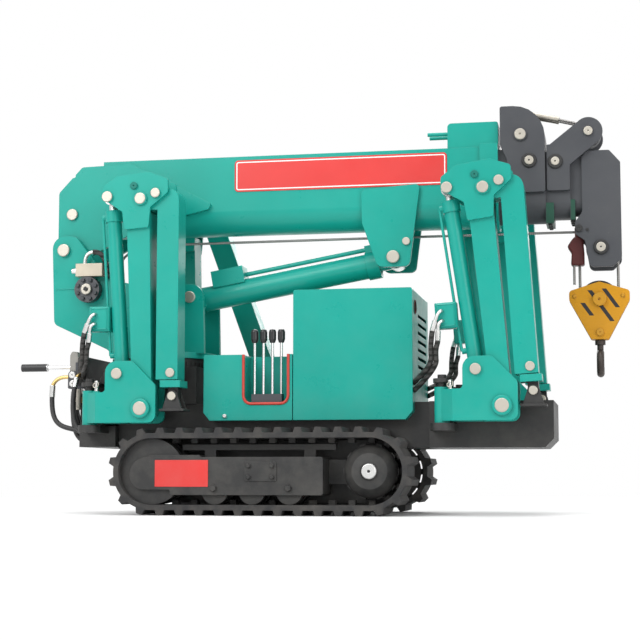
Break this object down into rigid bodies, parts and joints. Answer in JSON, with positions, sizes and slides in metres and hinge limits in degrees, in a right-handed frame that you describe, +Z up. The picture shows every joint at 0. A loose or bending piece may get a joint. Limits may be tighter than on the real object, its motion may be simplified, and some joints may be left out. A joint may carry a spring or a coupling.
{
  "type": "mini crawler crane with folding outrigger legs",
  "caption": "Compact tracked spider crane, parked with its telescopic boom down, hook block hung from the tip and folding outrigger legs stowed upright.",
  "frame": {"origin": "on the ground, under the middle of the parked machine's length and width", "axes": "+X forward to the boom's tip, +Y to the left, +Z up"},
  "size_m": [2.2, 0.72, 1.431],
  "materials": {
    "teal_paint": "gloss",
    "dark_paint": "satin",
    "bright_steel": "bright",
    "rubber": "matt",
    "yellow_paint": "gloss"
  },
  "bodies": {
    "base": {"chassis": "dark_paint", "slew_ring": "dark_paint", "turret": "teal_paint", "winch": "dark_paint", "engine_cover": "teal_paint", "engine_block": "dark_paint", "control_box": "teal_paint", "control_levers": "bright_steel", "oil_tank": "teal_paint", "rear_manifold": "dark_paint", "hand_lever": "bright_steel", "rear_hoses": "rubber", "track_right": "rubber", "track_left": "rubber", "track_frame_right": "dark_paint", "track_frame_left": "dark_paint", "leg_seat_rear_right": "dark_paint", "leg_seat_rear_left": "dark_paint", "leg_seat_front_right": "dark_paint", "leg_seat_front_left": "dark_paint"},
    "boom": {"boom_base": "teal_paint"},
    "boom_second": {"boom_second": "dark_paint"},
    "boom_third": {"boom_third": "dark_paint"},
    "boom_tip": {"boom_tip": "dark_paint"},
    "derrick_barrel": {"derrick_barrel": "teal_paint"},
    "derrick_rod": {"derrick_rod": "bright_steel"},
    "hook_block": {"hook_block": "yellow_paint", "hoist_rope": "bright_steel"},
    "hook": {"hook": "dark_paint"},
    "swing_bracket_rear_right": {"swing_bracket_rear_right": "teal_paint"},
    "inner_arm_rear_right": {"inner_arm_rear_right": "teal_paint"},
    "leg_cylinder_rear_right": {"leg_cylinder_rear_right": "teal_paint"},
    "leg_rod_rear_right": {"leg_rod_rear_right": "bright_steel"},
    "outer_arm_rear_right": {"outer_arm_rear_right": "teal_paint"},
    "leg_extension_rear_right": {"leg_extension_rear_right": "teal_paint"},
    "foot_rear_right": {"foot_rear_right": "dark_paint"},
    "swing_bracket_rear_left": {"swing_bracket_rear_left": "teal_paint"},
    "inner_arm_rear_left": {"inner_arm_rear_left": "teal_paint"},
    "leg_cylinder_rear_left": {"leg_cylinder_rear_left": "teal_paint"},
    "leg_rod_rear_left": {"leg_rod_rear_left": "bright_steel"},
    "outer_arm_rear_left": {"outer_arm_rear_left": "teal_paint"},
    "leg_extension_rear_left": {"leg_extension_rear_left": "teal_paint"},
    "foot_rear_left": {"foot_rear_left": "dark_paint"},
    "swing_bracket_front_right": {"swing_bracket_front_right": "teal_paint"},
    "inner_arm_front_right": {"inner_arm_front_right": "teal_paint"},
    "leg_cylinder_front_right": {"leg_cylinder_front_right": "teal_paint"},
    "leg_rod_front_right": {"leg_rod_front_right": "bright_steel"},
    "outer_arm_front_right": {"outer_arm_front_right": "teal_paint"},
    "leg_extension_front_right": {"leg_extension_front_right": "teal_paint"},
    "foot_front_right": {"foot_front_right": "dark_paint"},
    "swing_bracket_front_left": {"swing_bracket_front_left": "teal_paint"},
    "inner_arm_front_left": {"inner_arm_front_left": "teal_paint"},
    "leg_cylinder_front_left": {"leg_cylinder_front_left": "teal_paint"},
    "leg_rod_front_left": {"leg_rod_front_left": "bright_steel"},
    "outer_arm_front_left": {"outer_arm_front_left": "teal_paint"},
    "leg_extension_front_left": {"leg_extension_front_left": "teal_paint"},
    "foot_front_left": {"foot_front_left": "dark_paint"}
  },
  "joints": [
    {"name": "boom_lift", "type": "hinge", "parent": "base", "child": "boom", "pos_m": [-0.933, 0, 0.957], "axis": [0, -1, 0], "range_deg": [0, 72]},
    {"name": "derrick_swing", "type": "hinge", "parent": "base", "child": "derrick_barrel", "pos_m": [-0.453, 0, 0.774], "axis": [0, -1, 0], "range_deg": [-0.5, 82.81]},
    {"name": "derrick_stroke", "type": "slide", "parent": "derrick_barrel", "child": "derrick_rod", "axis": [0.9847, 0, 0.1742], "range_m": [-0.002, 0.57886]},
    {"name": "boom_telescope", "type": "slide", "parent": "boom", "child": "boom_second", "axis": [1, 0, 0], "range_m": [0, 1.1]},
    {"name": "third_telescope", "type": "slide", "parent": "boom_second", "child": "boom_third", "axis": [1, 0, 0], "range_m": [-0.002, 1.102]},
    {"name": "tip_telescope", "type": "slide", "parent": "boom_third", "child": "boom_tip", "axis": [1, 0, 0], "range_m": [-0.002, 1.102]},
    {"name": "hook_swing", "type": "hinge", "parent": "boom_tip", "child": "hook_block", "pos_m": [1.005, 0, 0.924], "axis": [0, 1, 0], "range_deg": [-30, 75]},
    {"name": "hook_swivel", "type": "hinge", "parent": "hook_block", "child": "hook", "pos_m": [0.996, 0, 0.63], "axis": [0, 0, 1], "continuous": true},
    {"name": "leg_swing_rear_right", "type": "hinge", "parent": "base", "child": "swing_bracket_rear_right", "pos_m": [-0.765, -0.292, 0.365], "axis": [0, 0, -1], "range_deg": [0, 135]},
    {"name": "leg_lower_rear_right", "type": "hinge", "parent": "swing_bracket_rear_right", "child": "inner_arm_rear_right", "pos_m": [-0.561, -0.292, 0.365], "axis": [0, 1, 0], "range_deg": [-0.5, 60.5]},
    {"name": "leg_cylinder_swing_rear_right", "type": "hinge", "parent": "swing_bracket_rear_right", "child": "leg_cylinder_rear_right", "pos_m": [-0.647, -0.292, 0.486], "axis": [0, 1, 0], "range_deg": [-0.5, 65.88]},
    {"name": "leg_cylinder_stroke_rear_right", "type": "slide", "parent": "leg_cylinder_rear_right", "child": "leg_rod_rear_right", "axis": [-0.0691, 0, 0.9976], "range_m": [-0.002, 0.13573]},
    {"name": "leg_knee_rear_right", "type": "hinge", "parent": "inner_arm_rear_right", "child": "outer_arm_rear_right", "pos_m": [-0.57, -0.292, 1.097], "axis": [0, -1, 0], "range_deg": [0, 98]},
    {"name": "leg_extend_rear_right", "type": "slide", "parent": "outer_arm_rear_right", "child": "leg_extension_rear_right", "axis": [0, 0, -1], "range_m": [-0.002, 0.182]},
    {"name": "foot_tilt_rear_right", "type": "hinge", "parent": "leg_extension_rear_right", "child": "foot_rear_right", "pos_m": [-0.457, -0.292, 0.408], "axis": [0, 1, 0], "range_deg": [-30, 30]},
    {"name": "leg_swing_rear_left", "type": "hinge", "parent": "base", "child": "swing_bracket_rear_left", "pos_m": [-0.765, 0.292, 0.365], "axis": [0, 0, 1], "range_deg": [0, 135]},
    {"name": "leg_lower_rear_left", "type": "hinge", "parent": "swing_bracket_rear_left", "child": "inner_arm_rear_left", "pos_m": [-0.561, 0.292, 0.365], "axis": [0, 1, 0], "range_deg": [-0.5, 60.5]},
    {"name": "leg_cylinder_swing_rear_left", "type": "hinge", "parent": "swing_bracket_rear_left", "child": "leg_cylinder_rear_left", "pos_m": [-0.647, 0.292, 0.486], "axis": [0, 1, 0], "range_deg": [-0.5, 65.88]},
    {"name": "leg_cylinder_stroke_rear_left", "type": "slide", "parent": "leg_cylinder_rear_left", "child": "leg_rod_rear_left", "axis": [-0.0691, 0, 0.9976], "range_m": [-0.002, 0.13573]},
    {"name": "leg_knee_rear_left", "type": "hinge", "parent": "inner_arm_rear_left", "child": "outer_arm_rear_left", "pos_m": [-0.57, 0.292, 1.097], "axis": [0, -1, 0], "range_deg": [-20, 78]},
    {"name": "leg_extend_rear_left", "type": "slide", "parent": "outer_arm_rear_left", "child": "leg_extension_rear_left", "axis": [0.342, 0, -0.9397], "range_m": [-0.002, 0.182]},
    {"name": "foot_tilt_rear_left", "type": "hinge", "parent": "leg_extension_rear_left", "child": "foot_rear_left", "pos_m": [-0.22816, 0.292, 0.4882], "axis": [0, 1, 0], "range_deg": [-50, 10]},
    {"name": "leg_swing_front_right", "type": "hinge", "parent": "base", "child": "swing_bracket_front_right", "pos_m": [0.474, -0.292, 0.365], "axis": [0, 0, -1], "range_deg": [0, 45]},
    {"name": "leg_lower_front_right", "type": "hinge", "parent": "swing_bracket_front_right", "child": "inner_arm_front_right", "pos_m": [0.678, -0.292, 0.365], "axis": [0, 1, 0], "range_deg": [0, 63.7]},
    {"name": "leg_cylinder_swing_front_right", "type": "hinge", "parent": "swing_bracket_front_right", "child": "leg_cylinder_front_right", "pos_m": [0.592, -0.292, 0.486], "axis": [0, 1, 0], "range_deg": [-0.5, 70.36]},
    {"name": "leg_cylinder_stroke_front_right", "type": "slide", "parent": "leg_cylinder_front_right", "child": "leg_rod_front_right", "axis": [-0.1467, 0, 0.9892], "range_m": [-0.002, 0.1404]},
    {"name": "leg_knee_front_right", "type": "hinge", "parent": "inner_arm_front_right", "child": "outer_arm_front_right", "pos_m": [0.62178, -0.292, 1.09489], "axis": [0, -1, 0], "range_deg": [0, 98]},
    {"name": "leg_extend_front_right", "type": "slide", "parent": "outer_arm_front_right", "child": "leg_extension_front_right", "axis": [0.0645, 0, -0.9979], "range_m": [0, 0.18]},
    {"name": "foot_tilt_front_right", "type": "hinge", "parent": "leg_extension_front_right", "child": "foot_front_right", "pos_m": [0.77901, -0.292, 0.41462], "axis": [0, 1, 0], "range_deg": [-33.7, 26.3]},
    {"name": "leg_swing_front_left", "type": "hinge", "parent": "base", "child": "swing_bracket_front_left", "pos_m": [0.474, 0.292, 0.365], "axis": [0, 0, 1], "range_deg": [0, 45]},
    {"name": "leg_lower_front_left", "type": "hinge", "parent": "swing_bracket_front_left", "child": "inner_arm_front_left", "pos_m": [0.678, 0.292, 0.365], "axis": [0, 1, 0], "range_deg": [0, 63.7]},
    {"name": "leg_cylinder_swing_front_left", "type": "hinge", "parent": "swing_bracket_front_left", "child": "leg_cylinder_front_left", "pos_m": [0.592, 0.292, 0.486], "axis": [0, 1, 0], "range_deg": [-0.5, 70.36]},
    {"name": "leg_cylinder_stroke_front_left", "type": "slide", "parent": "leg_cylinder_front_left", "child": "leg_rod_front_left", "axis": [-0.1467, 0, 0.9892], "range_m": [-0.002, 0.1404]},
    {"name": "leg_knee_front_left", "type": "hinge", "parent": "inner_arm_front_left", "child": "outer_arm_front_left", "pos_m": [0.62178, 0.292, 1.09489], "axis": [0, -1, 0], "range_deg": [0, 98]},
    {"name": "leg_extend_front_left", "type": "slide", "parent": "outer_arm_front_left", "child": "leg_extension_front_left", "axis": [0.0645, 0, -0.9979], "range_m": [0, 0.18]},
    {"name": "foot_tilt_front_left", "type": "hinge", "parent": "leg_extension_front_left", "child": "foot_front_left", "pos_m": [0.77901, 0.292, 0.41462], "axis": [0, 1, 0], "range_deg": [-33.7, 26.3]}
  ],
  "couplings": [
    {"joint": "derrick_swing", "follows": "boom_lift", "ratio": 1.1433},
    {"joint": "derrick_stroke", "follows": "boom_lift", "m_per_rad": 0.45905},
    {"joint": "third_telescope", "follows": "boom_telescope", "ratio": 1},
    {"joint": "tip_telescope", "follows": "boom_telescope", "ratio": 1},
    {"joint": "leg_lower_rear_right", "follows": "leg_swing_rear_right", "ratio": 0.44444},
    {"joint": "leg_cylinder_swing_rear_right", "follows": "leg_swing_rear_right", "ratio": 0.48433},
    {"joint": "leg_cylinder_stroke_rear_right", "follows": "leg_swing_rear_right", "m_per_rad": 0.056755},
    {"joint": "leg_extend_rear_right", "follows": "leg_swing_rear_right", "m_per_rad": 0.076394},
    {"joint": "leg_lower_rear_left", "follows": "leg_swing_rear_left", "ratio": 0.44444},
    {"joint": "leg_cylinder_swing_rear_left", "follows": "leg_swing_rear_left", "ratio": 0.48433},
    {"joint": "leg_cylinder_stroke_rear_left", "follows": "leg_swing_rear_left", "m_per_rad": 0.056755},
    {"joint": "leg_extend_rear_left", "follows": "leg_swing_rear_left", "m_per_rad": 0.076394},
    {"joint": "leg_cylinder_swing_front_right", "follows": "leg_lower_front_right", "ratio": 1.0967},
    {"joint": "leg_cylinder_stroke_front_right", "follows": "leg_lower_front_right", "m_per_rad": 0.12449},
    {"joint": "leg_cylinder_swing_front_left", "follows": "leg_lower_front_left", "ratio": 1.0967},
    {"joint": "leg_cylinder_stroke_front_left", "follows": "leg_lower_front_left", "m_per_rad": 0.12449}
  ]
}
